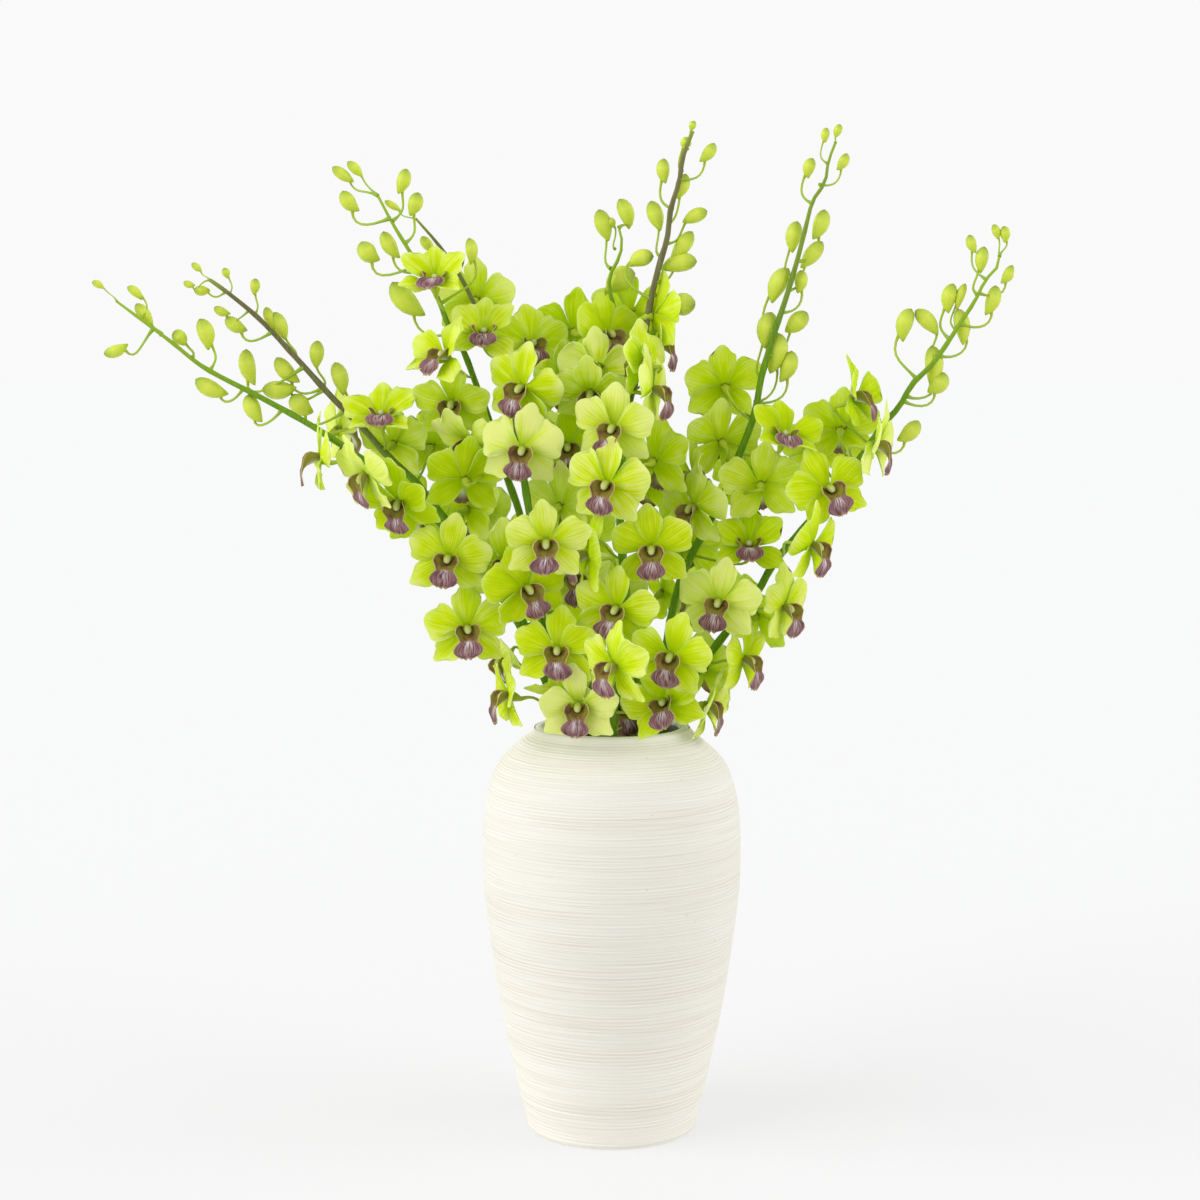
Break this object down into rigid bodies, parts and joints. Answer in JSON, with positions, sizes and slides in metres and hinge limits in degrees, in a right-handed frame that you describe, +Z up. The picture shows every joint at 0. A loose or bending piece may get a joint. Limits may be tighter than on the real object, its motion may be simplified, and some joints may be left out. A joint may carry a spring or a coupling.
{
  "type": "dendrobium orchid in vase",
  "caption": "Tall round-shouldered ceramic vase of water with a fan of lime-green dendrobium orchid sprays, in flower below and in bud at their tips.",
  "frame": {"origin": "centre of the vase's flat foot, on the surface that it stands on", "axes": "+Z up along the vase's axis, -Y towards the front of the bouquet, +X to the right of someone looking at its front"},
  "size_m": [0.5537, 0.2454, 0.6145],
  "materials": {
    "ceramic": "matte",
    "water": "gloss",
    "orchid": "satin"
  },
  "bodies": {
    "root": {"vase": "ceramic", "water": "water", "spray_far_left": "orchid", "spray_left": "orchid", "spray_left_tall": "orchid", "spray_left_back": "orchid", "spray_centre_back": "orchid", "spray_centre": "orchid", "spray_right_centre": "orchid", "spray_right": "orchid", "spray_front": "orchid", "spray_back": "orchid"}
  },
  "joints": []
}
